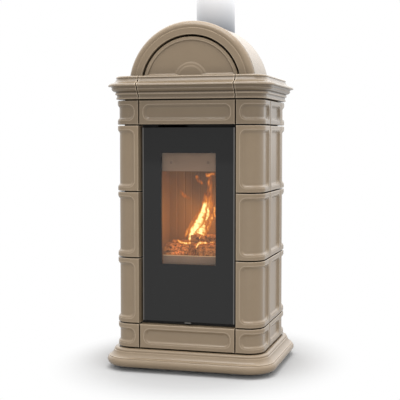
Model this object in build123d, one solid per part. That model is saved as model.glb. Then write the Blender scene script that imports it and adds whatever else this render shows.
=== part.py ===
from build123d import *
from math import asin, cos, degrees, hypot, sin
import os

# Tiled wood stove with an arched top. Millimetres, +Z up, front towards -Y,
# X = 0 on the centre line, Y = 0 halfway through the tiled body, Z = 0 on the floor.

# ---------------------------------------------------------------- tiled body
BODY_W = 551.0          # width over the raised tile faces
BODY_D = 460.0          # depth over the raised tile faces
CORNER_R = 60.0         # upright corners, measured at the raised faces
TILE_T = 25.0           # tile thickness
JOINT = 4.2             # open joint between two tiles
ARRIS_R = 3.0           # worn edge round each tile face

FOOT_GAP = 16.0         # plinth above the floor
PLINTH_TOP = 82.0       # middle of the joint under the lower frieze
FRIEZE_H = 90.0
ROW_H = 240.0
ROWS = 3
LOWER_FRIEZE_Z = PLINTH_TOP
FIRST_ROW_Z = PLINTH_TOP + FRIEZE_H
UPPER_FRIEZE_Z = FIRST_ROW_Z + ROWS * ROW_H

FRONT_SEAM_X = 178.2    # joint between the front and the corner tiles
SIDE_SEAM_FRONT = 140.0  # first side joint, behind the front plane
SIDE_SEAM_REAR = 340.0   # second side joint, behind the front plane

# Sunk bed of each tile: flat border, small quirk, ogee edge, flat floor.
BORDER = 15.0
BED_DEPTH = 7.0
OGEE_W = 13.0
BED_R = 22.0
FRIEZE_BED_DEPTH = 6.5
FRIEZE_OGEE_W = 12.0
FRIEZE_BED_R = 23.0
QUIRK = 1.2             # height of the sharp step where the ogee starts
CUT_OVER = 4.0          # how far a cutter stands out of the tile face

HALF_W = BODY_W / 2
HALF_D = BODY_D / 2
FRONT = -HALF_D
ARC_X = HALF_W - CORNER_R
ARC_Y = HALF_D - CORNER_R
TILE_EDGE_X = FRONT_SEAM_X + JOINT / 2
RETURN_T = 12.0         # glazed rib that turns back into the door opening
RETURN_DEPTH = 45.5     # its end, behind the front plane
RETURN_DRAFT = 2.2      # taper of the upright rib, so that it leaves the mould

# Plinth and cornice outlines: (distance outside the tile faces, height).
PLINTH_LEDGE = [(-25.0, 80.0), (2.4, 80.0)]
PLINTH_OVOLO = [(2.4, 80.0), (8.6, 79.0), (13.0, 76.0), (14.4, 71.2)]
PLINTH_STEP = [(14.4, 69.4), (17.0, 68.6)]
PLINTH_COVE = [(17.0, 68.6), (19.6, 61.6), (24.8, 54.4), (32.6, 49.4)]
PLINTH_QUIRK = [(34.0, 48.8), (34.0, 46.2), (36.2, 45.8)]
PLINTH_NOSE = [(36.2, 45.8), (39.8, 41.2), (42.0, 33.0), (39.4, 24.0), (34.0, 18.4), (27.0, 16.0)]
CORNICE_FOOT = [(-25.0, 984.1), (1.2, 984.1), (5.2, 985.5), (5.2, 990.5), (3.2, 991.5)]
CORNICE_COVE = [(3.2, 991.5), (2.6, 995.0), (3.4, 999.4), (8.6, 1001.4)]
CORNICE_FILLET = [(8.6, 1001.4), (9.2, 1007.0), (6.2, 1008.2), (6.6, 1010.6), (11.5, 1012.0)]
CORNICE_OVOLO = [(11.5, 1012.0), (15.0, 1013.4), (20.0, 1017.4), (22.8, 1022.2)]
CORNICE_HOLLOW = [(22.8, 1022.2), (21.6, 1023.4), (22.6, 1027.4), (27.0, 1030.4)]
CORNICE_LIP = [(33.4, 1031.2), (34.8, 1034.0), (33.2, 1037.0), (28.5, 1040.5), (24.0, 1042.2)]
CORNICE_NECK = [(24.0, 1042.2), (14.5, 1045.8), (8.0, 1051.5), (4.4, 1058.0)]
CORNICE_QUIRK = [(4.4, 1058.0), (4.0, 1060.5), (5.8, 1062.0)]
CORNICE_CROWN = [(5.8, 1062.0), (5.0, 1064.5), (1.5, 1067.0), (-3.4, 1068.0)]
CORNICE_INSIDE = [(-3.4, 1068.0), (-8.0, 1068.0), (-8.0, 1062.0), (-25.0, 1062.0), (-25.0, 984.1)]

# ---------------------------------------------------------------- arched top
ARCH_Z = 1029.0         # height of the arch centre
ARCH_FOOT_Z = 1065.0    # the arch stands on the top sheet here
MOULDING_BACK = FRONT + 75.0
BARREL_BACK = FRONT + 295.0
BARREL_R = 236.0
BARREL_WALL = 18.0
BARREL_BEVEL = 4.0
BARREL_GAP = 0.2        # behind the moulding
# Arch moulding: (radius, distance behind the front plane).
ARCH_FACE = [(186.0, 75.0), (186.0, 49.0), (187.5, 47.0), (209.5, 47.0), (211.0, 49.0), (213.0, 49.0)]
ARCH_BEAD = [(213.0, 49.0), (219.0, 48.2), (227.0, 51.4), (233.0, 57.6), (236.0, 65.4), (234.6, 71.4)]
ARCH_BACK = [(234.6, 71.4), (231.0, 73.0), (231.0, 75.0), (186.0, 75.0)]

LUNETTE_R = 179.0       # half-round tile in the arch
LUNETTE_FACE = FRONT + 51.0
LUNETTE_T = 20.0
LUNETTE_RIM = 11.0
LUNETTE_OGEE = 5.5
LUNETTE_DEPTH = 5.0
LUNETTE_SILL_Z = 1070.5  # top of the flat border along its foot
LUNETTE_SILL_OGEE = 8.0
RELIEF_Z = 1055.5       # centre of the half-round relief
# Relief in the field: (radius, height over the field).
RELIEF = [(63.0, 0.0), (57.0, 2.2), (51.5, 2.4), (45.0, 4.4), (0.0, 4.8)]

# ---------------------------------------------------------------- steelwork
SHEET = 2.5
CASING_GAP = 0.3        # between the casing and the tiles
CASING_OUT = TILE_T + CASING_GAP
CASING_TOP = 1050.0
FOLD_X = TILE_EDGE_X + RETURN_T + CASING_GAP
BASE_T = 3.0
BASE_OUT = 18.0
BASE_HOLE_W = 300.0
BASE_HOLE_D = 240.0
FOOT_R = 22.0
FOOT_H = 6.0
STUD_R = 4.0
STUD_TOP = 34.0
STUD_CLEAR = 0.3
FOOT_X = 215.0
FOOT_Y = 175.0
NUT_R = 8.0
NUT_H = 8.0

PANEL_T = 1.5
PANEL_HALF_W = 176.0
PANEL_TOP = 958.0
SLOT_L = 72.0
SLOT_STEP = 90.0        # from one slot to the next in a row
SLOT_H = 8.0
SLOT_PITCH = 18.0       # from one row to the next
SLOT_ROWS = 5
SLOT_GROUPS_Z = (130.0, 840.0)

TOP_PLATE_Z = 1062.0
TOP_PLATE_T = 3.0
TOP_PLATE_OUT = -8.5
GRILLE_X = 65.0
GRILLE_Y = FRONT + 110.0
GRILLE_L = 110.0
GRILLE_W = 10.0
GRILLE_PITCH = 26.0
GRILLE_ROWS = 5

# ---------------------------------------------------------------- firebox
SHELL_HALF_W = 179.0
SHELL_T = 4.0
SHELL_FRONT = FRONT + 49.0
SHELL_BACK = FRONT + 321.0
SHELL_TOP = 962.0
HEARTH_SHELF_Z = 338.0  # underside of the shelf that carries the bricks
ASH_SHELF_Z = 198.0     # underside of the shelf that carries the ash pan
ASH_SHELF_T = 3.0
GRATE_LEDGE = 10.0      # shelf left under the grate all round
BRICK_Z = HEARTH_SHELF_Z + SHELL_T
HEARTH_T = 30.0
HEARTH_Z = BRICK_Z + HEARTH_T
BRICK_TOP = 788.0
SIDE_BRICK_T = 25.0
BACK_BRICK_T = 30.0
FIRE_HALF_W = 150.0
BRICK_FRONT = FRONT + 50.0
FIRE_BACK = FRONT + 287.0
GROOVE_R = 5.0
GROOVE_OFF = 3.4        # groove axis, in front of the brick's face
GROOVE_PITCH = 30.0
GROOVES_A_SIDE = 4
GRATE_HALF_W = 70.0
GRATE_Y0 = FRONT + 130.0
GRATE_Y1 = FRONT + 250.0
GRATE_T = 15.0
GRATE_SLOTS = 7
GRATE_SLOT_W = 8.0
GRATE_RIM_X = 10.0
GRATE_RIM_Y = 14.0
BAFFLE_T = 25.0
BAFFLE_FRONT = FRONT + 112.0
RETAINER_HALF_W = 104.0
RETAINER_Y = FRONT + 54.0
RETAINER_T = 5.0
RETAINER_TOP = 420.0
RETAINER_FOOT_X = 92.0
RETAINER_FOOT_HALF_W = 8.0
RETAINER_FOOT_L = 16.0
RETAINER_FOOT_H = 6.0

FLUE_Y = FRONT + 414.0
FLUE_R = 75.0
FLUE_T = 1.5
FLUE_Z0 = 1072.0
FLUE_TOP = 1430.0
SPIGOT_R = 73.2
SPIGOT_TOP = FLUE_Z0 + 45.0
FLANGE_W = 12.0
FLANGE_T = 2.0
BEAD_H = 4.0
TOP_GAP = 6.0           # round the pipe in the top sheet
COLLECTOR_HALF_W = 100.0
COLLECTOR_Y0 = FRONT + 226.0
COLLECTOR_Y1 = FRONT + 492.0
COLLECTOR_TOP = 1037.0
SMOKE_HALF_W = 85.0
SMOKE_Y0 = FRONT + 236.0
SMOKE_Y1 = FRONT + 312.0

# ---------------------------------------------------------------- front frame and door
FRAME_Y = FRONT + 46.0  # front face of the frame plate
FRAME_T = 3.0
FRAME_HALF_W = FOLD_X + SHEET
FRAME_TOP = CASING_TOP
FIRE_OPEN_W = 115.0
FIRE_OPEN_Z0 = 366.0
FIRE_OPEN_Z1 = 742.0
ASH_OPEN_W = 116.0
ASH_OPEN_Z0 = 201.0
ASH_OPEN_Z1 = 318.0
AIR_SLOT_X0 = -119.0
AIR_SLOT_X1 = -7.5
AIR_SLOT_Z0 = 884.5
AIR_SLOT_Z1 = 892.0

DOOR_Z0 = 182.5
DOOR_Z1 = 882.5
DOOR_HALF_W = 171.0
GLASS_Y = FRONT + 23.2
GLASS_T = 5.0
TRIM_T = 1.2
TRIM_W = 4.0
STEEL_Y = FRONT + 28.4  # front face of the door's iron frame
STEEL_T = 9.6
WINDOW_HALF_W = 101.8
WINDOW_Z0 = 390.0
WINDOW_Z1 = 791.8
WINDOW_R = 3.0
HINGE_X = -162.0
HINGE_Y = FRONT + 33.5
PIN_R = 3.0
PIN_CLEAR = 0.05
PIN_L = 18.0
LUG_T = 4.0
LUG_R = 4.8
LUG_INNER = 8.0         # from the pin to the lug's inner side
LUG_GAP = 0.5
NOTCH_X = -146.0
NOTCH_H = 9.0
ROPE_R = 5.0
ROPE_HALF_W = 142.0
ROPE_Z0 = 194.6 + ROPE_R
ROPE_Z1 = 866.0
ROPE_CORNER = 14.0
GROOVE_DEPTH = 2.5
POCKET_HALF_W = 124.0
POCKET_Z0 = 214.0
POCKET_Z1 = 372.0
POCKET_DEPTH = 5.0

AIR_PLATE_HALF_W = 112.0
AIR_PLATE_Z0 = 726.0
AIR_PLATE_Z1 = 806.0
AIR_PLATE_T = 3.0
BOLT_X = 69.0
BOLT_Z = 757.0
BOLT_HEAD_R = 5.8
BOLT_HEAD_H = 3.6
BOLT_R = 2.9
BOLT_HOLE_R = 3.0

# ---------------------------------------------------------------- moving insides
LEVER_HALF_W = 12.0
LEVER_Z0 = 178.0
LEVER_T = 4.0
LEVER_Y0 = FRONT + 17.0
LEVER_Y1 = FRONT + 110.0
LEVER_PLAY = 0.6
DAMPER_HALF_W = 75.0
DAMPER_Y0 = FRONT + 88.0
DAMPER_Y1 = FRONT + 178.0
DAMPER_T = 3.0
DAMPER_PLAY = 0.4
AIR_HOLE_R = 10.0
AIR_HOLE_Y = FRONT + 118.0
AIR_HOLE_PITCH = 50.0
AIR_TRAVEL = 30.0
RAIL_T = 3.0
RAIL_LIP = 8.0

PAN_HALF_W = 108.0
PAN_Y0 = FRONT + 102.0
PAN_Y1 = FRONT + 300.0
PAN_H = 72.0
PAN_T = 2.0
PAN_PLAY = 0.4
PAN_GRIP_HALF_W = 40.0
PAN_GRIP_Z = 48.0
PAN_GRIP_L = 22.0
PAN_GRIP_T = 8.0

LOGS = [
    # length, radius, centre x, y (behind the front), z, turn about Z
    (230.0, 55.0, -4.0, 231.0, 402.5, 0.0),
    (92.0, 55.0, -63.0, 120.0, 402.5, 0.0),
    (118.0, 52.0, 72.0, 119.0, 400.8, 2.0),
    (168.0, 19.0, 56.0, 165.0, 469.0, 20.0),
]


def block(x0, x1, y0, y1, z0, z1):
    """A box between two corners."""
    return Pos((x0 + x1) / 2, (y0 + y1) / 2, (z0 + z1) / 2) * Box(x1 - x0, y1 - y0, z1 - z0)


def rod(x, y, z0, z1, r):
    """An upright round bar."""
    return Pos(x, y, (z0 + z1) / 2) * Cylinder(r, z1 - z0)


def rod_y(x, z, y0, y1, r):
    """A round bar lying along Y."""
    return Pos(x, (y0 + y1) / 2, z) * Rot(90, 0, 0) * Cylinder(r, y1 - y0)


def plan(out):
    """The body outline seen from above, moved outwards by a distance."""
    return RectangleRounded(BODY_W + 2 * out, BODY_D + 2 * out, CORNER_R + out)


def slab(out, z0, z1):
    """The whole body outline between two heights."""
    return extrude(Pos(0, 0, z0) * plan(out), amount=z1 - z0)


def ring(out, inside, z0, z1):
    """A wall that follows the body outline."""
    return slab(out, z0, z1) - slab(inside, z0 - 1, z1 + 1)


def outside(point):
    """Distance of a point outside the raised tile faces."""
    dx = abs(point.X) - ARC_X
    dy = abs(point.Y) - ARC_Y
    return hypot(max(dx, 0), max(dy, 0)) + min(max(dx, dy), 0) - CORNER_R


def ogee_points(width, depth):
    """The middle points of the two arcs of an ogee edge."""
    radius = (width**2 + depth**2) / (4 * depth)
    half_turn = asin(width / 2 / radius) / 2
    return radius * sin(half_turn), radius * (1 - cos(half_turn))


def ogee(start, width, depth, way):
    """A small quirk and two arcs from the face at start down to the floor of a bed."""
    drop = depth - QUIRK
    s, t = ogee_points(width, drop)
    floor_x = start + way * width
    head = (start, -QUIRK)
    middle = (start + way * width / 2, -QUIRK - drop / 2)
    upper = ThreePointArc(head, (start + way * s, -QUIRK - t), middle)
    lower = ThreePointArc(middle, (floor_x - way * s, t - depth), (floor_x, -depth))
    return [Line((start, 0), head), upper, lower]


def bed_section(length, width, depth):
    """Cross-section of a bed cutter with an ogee at both ends."""
    half = length / 2
    edges = ogee(-half, width, depth, 1) + ogee(half, width, depth, -1)
    edges.append(Line((-half + width, -depth), (half - width, -depth)))
    edges.append(Line((half, 0), (half, CUT_OVER)))
    edges.append(Line((half, CUT_OVER), (-half, CUT_OVER)))
    edges.append(Line((-half, CUT_OVER), (-half, 0)))
    return make_face(edges)


def half_bed_section(length, width, depth):
    """Cross-section of a bed cutter with an ogee at its start only."""
    edges = ogee(0, width, depth, 1)
    edges.append(Line((width, -depth), (length, -depth)))
    edges.append(Line((length, -depth), (length, CUT_OVER)))
    edges.append(Line((length, CUT_OVER), (0, CUT_OVER)))
    edges.append(Line((0, CUT_OVER), (0, 0)))
    return make_face(edges)


def corner_section(radius, width, depth):
    """Half cross-section of the round corner of a bed cutter."""
    edges = ogee(radius, width, depth, -1)
    edges.append(Line((radius - width, -depth), (0, -depth)))
    edges.append(Line((0, -depth), (0, CUT_OVER)))
    edges.append(Line((0, CUT_OVER), (radius, CUT_OVER)))
    edges.append(Line((radius, CUT_OVER), (radius, 0)))
    return make_face(edges)


def bed_disc(radius, width, depth):
    """Round cutter with an ogee edge, face towards -Y."""
    return Rot(90, 0, 0) * revolve(Plane.XZ * corner_section(radius, width, depth), Axis.Z)


def half_bed(length, height, radius, width, depth):
    """Cutters for a bed from its round end at x = 0 to a square end, face towards -Y."""
    disc = bed_disc(radius, width, depth)
    keep = block(-1, length, -height, height, -height, height)
    upper = (Pos(radius, 0, height / 2 - radius) * disc) & keep
    lower = (Pos(radius, 0, radius - height / 2) * disc) & keep
    across = Plane(origin=(0, 0, radius - height / 2), x_dir=(1, 0, 0), z_dir=(0, 0, -1))
    section = across * half_bed_section(length, width, depth)
    cutters = [upper, lower, extrude(section, amount=height - 2 * radius, dir=(0, 0, 1))]
    if length - radius > 1:
        along = Plane(origin=(radius, 0, 0), x_dir=(0, 0, 1), z_dir=(1, 0, 0))
        section = along * bed_section(height, width, depth)
        cutters.append(extrude(section, amount=length - radius, dir=(1, 0, 0)))
    return cutters


def round_arris(tile, z0, z1, x_edge, y_edge):
    """Round the edges of the glazed face, but not the seams where it turns the corner."""
    found = []
    for edge in tile.edges():
        mid = edge @ 0.5
        on_face = abs(outside(mid)) < 0.01
        at_end = abs(mid.Z - z0) < 0.01 or abs(mid.Z - z1) < 0.01
        at_side = abs(abs(mid.X) - x_edge) < 0.01 or abs(mid.Y - y_edge) < 0.01
        if on_face and (at_end or at_side):
            found.append(edge)
    return fillet(found, ARRIS_R)


def corner_tile(z0, z1, reach, bed_r, width, depth):
    """A right-hand tile that turns the front corner; its bed turns with it."""
    y_edge = FRONT + reach
    blank = ring(0, -TILE_T, z0, z1) & block(TILE_EDGE_X, HALF_W + 1, FRONT - 1, y_edge, z0, z1)
    tile = round_arris(blank, z0, z1, TILE_EDGE_X, y_edge)
    height = z1 - z0 - 2 * BORDER
    middle = (z0 + z1) / 2
    turn = degrees(asin((TILE_EDGE_X + BORDER + bed_r - ARC_X) / CORNER_R))
    for cutter in half_bed(bed_r, height, bed_r, width, depth):
        tile -= Pos(TILE_EDGE_X + BORDER, FRONT, middle) * cutter
    side = Pos(HALF_W, y_edge - BORDER, middle) * Rot(0, 0, 90) * Rot(0, 180, 0)
    for cutter in half_bed(reach - BORDER - CORNER_R, height, bed_r, width, depth):
        tile -= side * cutter
    band = Plane(origin=(HALF_W, FRONT + CORNER_R, middle), x_dir=(0, 0, 1), z_dir=(0, 1, 0))
    section = band * bed_section(height, width, depth)
    return tile - revolve(section, Axis((ARC_X, -ARC_Y, 0), (0, 0, 1)), turn - 90)


def side_tile(z0, z1, bed_r, width, depth):
    """A flat tile on the right-hand side."""
    y0 = FRONT + SIDE_SEAM_FRONT + JOINT / 2
    y1 = FRONT + SIDE_SEAM_REAR - JOINT / 2
    tile = block(HALF_W - TILE_T, HALF_W, y0, y1, z0, z1)
    tile = fillet(tile.faces().sort_by(Axis.X)[-1].edges(), ARRIS_R)
    height = z1 - z0 - 2 * BORDER
    length = y1 - y0 - 2 * BORDER
    place = Pos(HALF_W, (y0 + y1) / 2, (z0 + z1) / 2) * Rot(0, 0, 90)
    for cutter in half_bed(length / 2, height, bed_r, width, depth):
        shifted = Pos(-length / 2, 0, 0) * cutter
        tile -= place * shifted
        tile -= place * shifted.mirror(Plane.YZ)
    return tile


def door_corner_tile(z0, z1):
    """A tall corner tile with the glazed rib that turns back beside the door."""
    tile = corner_tile(z0, z1, SIDE_SEAM_FRONT - JOINT / 2, BED_R, OGEE_W, BED_DEPTH)
    y0 = FRONT + TILE_T - 1
    y1 = FRONT + RETURN_DEPTH
    outer = TILE_EDGE_X + RETURN_T
    rib = Polyline((TILE_EDGE_X, y0), (outer, y0), (outer, y1), (TILE_EDGE_X - RETURN_DRAFT, y1), close=True)
    return tile + extrude(Pos(0, 0, z0) * make_face(rib), amount=z1 - z0)


def frieze_tile(z0, z1, rib_z):
    """The flat tile of a frieze, with a rib from rib_z upwards that closes the door opening."""
    half = FRONT_SEAM_X - JOINT / 2
    tile = block(-half, half, FRONT, FRONT + TILE_T, z0, z1)
    tile = fillet(tile.faces().sort_by(Axis.Y)[0].edges(), ARRIS_R)
    tile &= block(-half, 0, FRONT, FRONT + TILE_T, z0, z1)
    height = z1 - z0 - 2 * BORDER
    place = Pos(BORDER - half, FRONT, (z0 + z1) / 2)
    for cutter in half_bed(half - BORDER, height, FRIEZE_BED_R, FRIEZE_OGEE_W, FRIEZE_BED_DEPTH):
        tile -= place * cutter
    tile += tile.mirror(Plane.YZ)
    return tile + block(-half, half, FRONT + TILE_T - 1, FRONT + RETURN_DEPTH, rib_z, rib_z + RETURN_T)


def profile_edges(pieces):
    """Lines and curves through named lists of points, joined end to end."""
    edges = []
    last = None
    for kind, points in pieces:
        if last is not None and last != points[0]:
            edges.append(Line(last, points[0]))
        if kind == "line":
            edges += [Line(a, b) for a, b in zip(points, points[1:])]
        else:
            edges.append(Spline(*points))
        last = points[-1]
    return make_face(edges)


def corner_turn(section):
    """The moulding where it turns the front right-hand corner."""
    place = Plane(origin=(HALF_W, FRONT + CORNER_R, 0), x_dir=(1, 0, 0), z_dir=(0, -1, 0))
    return revolve(place * section, Axis((ARC_X, -ARC_Y, 0), (0, 0, 1)), -90)


def front_run(section, x0, x1):
    """The moulding along the front between two places."""
    place = Plane(origin=(x0, FRONT, 0), x_dir=(0, -1, 0), z_dir=(-1, 0, 0))
    return extrude(place * section, amount=x1 - x0, dir=(1, 0, 0))


def side_run(section, y0, y1):
    """The moulding along the right-hand side between two places."""
    place = Plane(origin=(HALF_W, y0, 0), x_dir=(1, 0, 0), z_dir=(0, -1, 0))
    return extrude(place * section, amount=y1 - y0, dir=(0, 1, 0))


def plinth():
    """The moulded plinth, one ring round all four sides."""
    pieces = [("line", PLINTH_LEDGE), ("curve", PLINTH_OVOLO), ("line", PLINTH_STEP)]
    pieces += [("curve", PLINTH_COVE), ("line", PLINTH_QUIRK), ("curve", PLINTH_NOSE)]
    pieces.append(("line", [PLINTH_NOSE[-1], (-TILE_T, FOOT_GAP), PLINTH_LEDGE[0]]))
    section = profile_edges(pieces)
    quarter = front_run(section, 0, ARC_X) + corner_turn(section) + side_run(section, -ARC_Y, 0)
    half = quarter + quarter.mirror(Plane.XZ)
    return half + half.mirror(Plane.YZ)


def cornice_section():
    """Cross-section of the cornice, from its foot up over the lip to the crown."""
    pieces = [("line", CORNICE_FOOT), ("curve", CORNICE_COVE), ("line", CORNICE_FILLET)]
    pieces += [("curve", CORNICE_OVOLO), ("curve", CORNICE_HOLLOW), ("curve", CORNICE_LIP)]
    pieces += [("curve", CORNICE_NECK), ("line", CORNICE_QUIRK), ("curve", CORNICE_CROWN)]
    return profile_edges(pieces + [("line", CORNICE_INSIDE)])


def cornice_front():
    """The straight cornice piece over the door."""
    half = FRONT_SEAM_X - JOINT / 2
    return front_run(cornice_section(), -half, half)


def cornice_side():
    """The right-hand cornice piece: front corner, side and rear corner."""
    section = cornice_section()
    half = front_run(section, TILE_EDGE_X, ARC_X) + corner_turn(section) + side_run(section, -ARC_Y, 0)
    return half + half.mirror(Plane.XZ)


def arch_ring(section, centre_z):
    """A section of (radius, depth) turned about a level axis and cut off at the top sheet."""
    place = Plane(origin=(0, FRONT, centre_z), x_dir=(1, 0, 0), z_dir=(0, 0, 1))
    whole = revolve(place * section, Axis((0, 0, centre_z), (0, 1, 0)))
    reach = 2 * BARREL_R
    return whole & block(-reach, reach, -reach, reach, ARCH_FOOT_Z, ARCH_FOOT_Z + reach)


def arch_moulding():
    """The moulded front of the arch."""
    section = profile_edges([("line", ARCH_FACE), ("curve", ARCH_BEAD), ("line", ARCH_BACK)])
    return arch_ring(section, ARCH_Z)


def arch_barrel():
    """The barrel behind the moulding, closed at the back."""
    front = MOULDING_BACK + BARREL_GAP - FRONT
    back = BARREL_BACK - FRONT
    inner = BARREL_R - BARREL_WALL
    wall = back - BARREL_WALL
    points = [(inner, front), (BARREL_R, front), (BARREL_R, back - BARREL_BEVEL)]
    points += [(BARREL_R - BARREL_BEVEL, back), (0, back), (0, wall), (inner, wall), (inner, front)]
    return arch_ring(profile_edges([("line", points)]), ARCH_Z)


def lunette():
    """The half-round tile that closes the arch: border, ogee, sunk field and raised relief."""
    face = LUNETTE_FACE - FRONT
    back = face + LUNETTE_T
    points = [(0, back), (LUNETTE_R, back), (LUNETTE_R, face + ARRIS_R), (LUNETTE_R - ARRIS_R, face)]
    points += [(0, face), (0, back)]
    tile = arch_ring(profile_edges([("line", points)]), ARCH_Z)
    field = Pos(0, LUNETTE_FACE, ARCH_Z) * bed_disc(LUNETTE_R - LUNETTE_RIM, LUNETTE_OGEE, LUNETTE_DEPTH)
    place = Plane(origin=(-LUNETTE_R, LUNETTE_FACE, LUNETTE_SILL_Z), x_dir=(0, 0, 1), z_dir=(1, 0, 0))
    section = place * half_bed_section(LUNETTE_R, LUNETTE_SILL_OGEE, LUNETTE_DEPTH)
    tile -= field & extrude(section, amount=2 * LUNETTE_R, dir=(1, 0, 0))
    floor = face + LUNETTE_DEPTH
    points = [(0, floor + 1), (RELIEF[0][0], floor + 1)]
    points += [(radius, floor - height) for radius, height in RELIEF] + [(0, floor + 1)]
    return tile + arch_ring(profile_edges([("line", points)]), RELIEF_Z)


def base_frame():
    """Steel base plate with four welded nuts for the feet."""
    plate = slab(BASE_OUT, FOOT_GAP - BASE_T, FOOT_GAP)
    plate -= block(-BASE_HOLE_W / 2, BASE_HOLE_W / 2, -BASE_HOLE_D / 2, BASE_HOLE_D / 2, 0, FOOT_GAP + 1)
    for x in (-FOOT_X, FOOT_X):
        for y in (-FOOT_Y, FOOT_Y):
            plate += rod(x, y, FOOT_GAP, FOOT_GAP + NUT_H, NUT_R)
            plate -= rod(x, y, 0, FOOT_GAP + NUT_H + 1, STUD_R + STUD_CLEAR)
    return plate


def levelling_feet():
    """Four equal feet: a round pad with a threaded stud."""
    feet = []
    for x in (-FOOT_X, FOOT_X):
        for y in (-FOOT_Y, FOOT_Y):
            feet.append(rod(x, y, 0, FOOT_H, FOOT_R) + rod(x, y, FOOT_H, STUD_TOP, STUD_R))
    return Compound(children=feet)


def casing():
    """Right-hand half of the sheet casing behind the tiles, folded back to the front plate."""
    wall = ring(-CASING_OUT, -CASING_OUT - SHEET, FOOT_GAP, CASING_TOP)
    wall &= block(FOLD_X, HALF_W, -HALF_D, HALF_D, FOOT_GAP, CASING_TOP)
    return wall + block(FOLD_X, FOLD_X + SHEET, FRONT + CASING_OUT, FRAME_Y, FOOT_GAP, CASING_TOP)


def back_panel():
    """Back sheet with two groups of air slots."""
    y1 = HALF_D - CASING_OUT
    panel = block(-PANEL_HALF_W, PANEL_HALF_W, y1 - PANEL_T, y1, FOOT_GAP, PANEL_TOP)
    for first in SLOT_GROUPS_Z:
        for row in range(SLOT_ROWS):
            z = first + row * SLOT_PITCH
            for x in (-SLOT_STEP, 0, SLOT_STEP):
                panel -= block(x - SLOT_L / 2, x + SLOT_L / 2, y1 - 5, y1 + 5, z, z + SLOT_H)
    return panel


def top_plate():
    """Top sheet under the arch, open for the flue and slotted for warm air."""
    plate = slab(TOP_PLATE_OUT, TOP_PLATE_Z, TOP_PLATE_Z + TOP_PLATE_T)
    low = TOP_PLATE_Z - 1
    high = TOP_PLATE_Z + TOP_PLATE_T + 1
    gap_r = FLUE_R + TOP_GAP
    plate -= rod(0, FLUE_Y, low, high, gap_r)
    plate -= block(-gap_r, gap_r, FLUE_Y, HALF_D, low, high)
    for x in (-GRILLE_X, GRILLE_X):
        for row in range(GRILLE_ROWS):
            y = GRILLE_Y + row * GRILLE_PITCH
            plate -= block(x - GRILLE_L / 2, x + GRILLE_L / 2, y, y + GRILLE_W, low, high)
    return plate


def front_frame():
    """Front plate with the fire and ash openings, the air slots and the hinge lugs."""
    y0 = FRAME_Y - 1
    back = FRAME_Y + FRAME_T
    frame = block(-FRAME_HALF_W, FRAME_HALF_W, FRAME_Y, back, FOOT_GAP, FRAME_TOP)
    frame -= block(-FIRE_OPEN_W, FIRE_OPEN_W, y0, back + 1, FIRE_OPEN_Z0, FIRE_OPEN_Z1)
    frame -= block(-ASH_OPEN_W, ASH_OPEN_W, y0, back + 1, ASH_OPEN_Z0, ASH_OPEN_Z1)
    frame -= block(AIR_SLOT_X0, AIR_SLOT_X1, y0, back + 1, AIR_SLOT_Z0, AIR_SLOT_Z1)
    lever_half = LEVER_HALF_W + LEVER_PLAY
    lever_top = LEVER_Z0 + LEVER_T + LEVER_PLAY
    frame -= block(-lever_half, lever_half, y0, back + 1, LEVER_Z0 - LEVER_PLAY, lever_top)
    for z0 in lug_heights():
        frame += block(HINGE_X - LUG_R, HINGE_X + LUG_INNER, HINGE_Y, FRAME_Y + 1, z0, z0 + LUG_T)
        frame += rod(HINGE_X, HINGE_Y, z0, z0 + LUG_T, LUG_R)
        frame -= rod(HINGE_X, HINGE_Y, z0 - 1, z0 + LUG_T + 1, PIN_R)
    return frame


def lug_heights():
    """Undersides of the lower and the upper hinge lug."""
    return (DOOR_Z0 + NOTCH_H - LUG_T - LUG_GAP, DOOR_Z1 - NOTCH_H + LUG_GAP)


def hinge_pins():
    """Two equal pins, pressed into the lugs and running in the door."""
    low, high = lug_heights()
    lower = rod(HINGE_X, HINGE_Y, low, low + PIN_L, PIN_R)
    upper = rod(HINGE_X, HINGE_Y, high + LUG_T - PIN_L, high + LUG_T, PIN_R)
    return Compound(children=[lower, upper])


def firebox_shell():
    """Welded steel body: sides, back, top and two shelves."""
    y0, y1 = SHELL_FRONT, SHELL_BACK
    w = SHELL_HALF_W
    shell = block(-w, w, y0, y1, FOOT_GAP, SHELL_TOP)
    shell -= block(SHELL_T - w, w - SHELL_T, y0 - 1, y1 - SHELL_T, FOOT_GAP - 1, SHELL_TOP - SHELL_T)
    shell -= block(-SMOKE_HALF_W, SMOKE_HALF_W, SMOKE_Y0, SMOKE_Y1, SHELL_TOP - 10, SHELL_TOP + 1)
    inner = w - SHELL_T + 0.5
    shelf = block(-inner, inner, y0, y1 - 1, HEARTH_SHELF_Z, BRICK_Z)
    well = GRATE_HALF_W - GRATE_LEDGE
    shelf -= block(-well, well, GRATE_Y0 + GRATE_LEDGE, GRATE_Y1 - GRATE_LEDGE, 0, SHELL_TOP)
    ash_shelf = block(-inner, inner, y0, y1 - 1, ASH_SHELF_Z, ASH_SHELF_Z + ASH_SHELF_T)
    for x in (-AIR_HOLE_PITCH, 0, AIR_HOLE_PITCH):
        ash_shelf -= rod(x, AIR_HOLE_Y, ASH_SHELF_Z - 1, ASH_SHELF_Z + ASH_SHELF_T + 1, AIR_HOLE_R)
    return shell + shelf + ash_shelf + damper_rails()


def damper_rails():
    """Two folded rails under the ash shelf that carry the air slide."""
    rails = []
    low = ASH_SHELF_Z - DAMPER_PLAY - DAMPER_T - DAMPER_PLAY - RAIL_T
    y0 = DAMPER_Y0 - AIR_TRAVEL
    for side in (-1, 1):
        x_in = side * (DAMPER_HALF_W + DAMPER_PLAY)
        x_out = x_in + side * RAIL_T
        x_lip = x_in - side * RAIL_LIP
        web = sorted((x_in, x_out))
        lip = sorted((x_lip, x_out))
        rails.append(block(*web, y0, DAMPER_Y1, low, ASH_SHELF_Z + 1))
        rails.append(block(*lip, y0, DAMPER_Y1, low, low + RAIL_T))
    return rails


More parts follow.
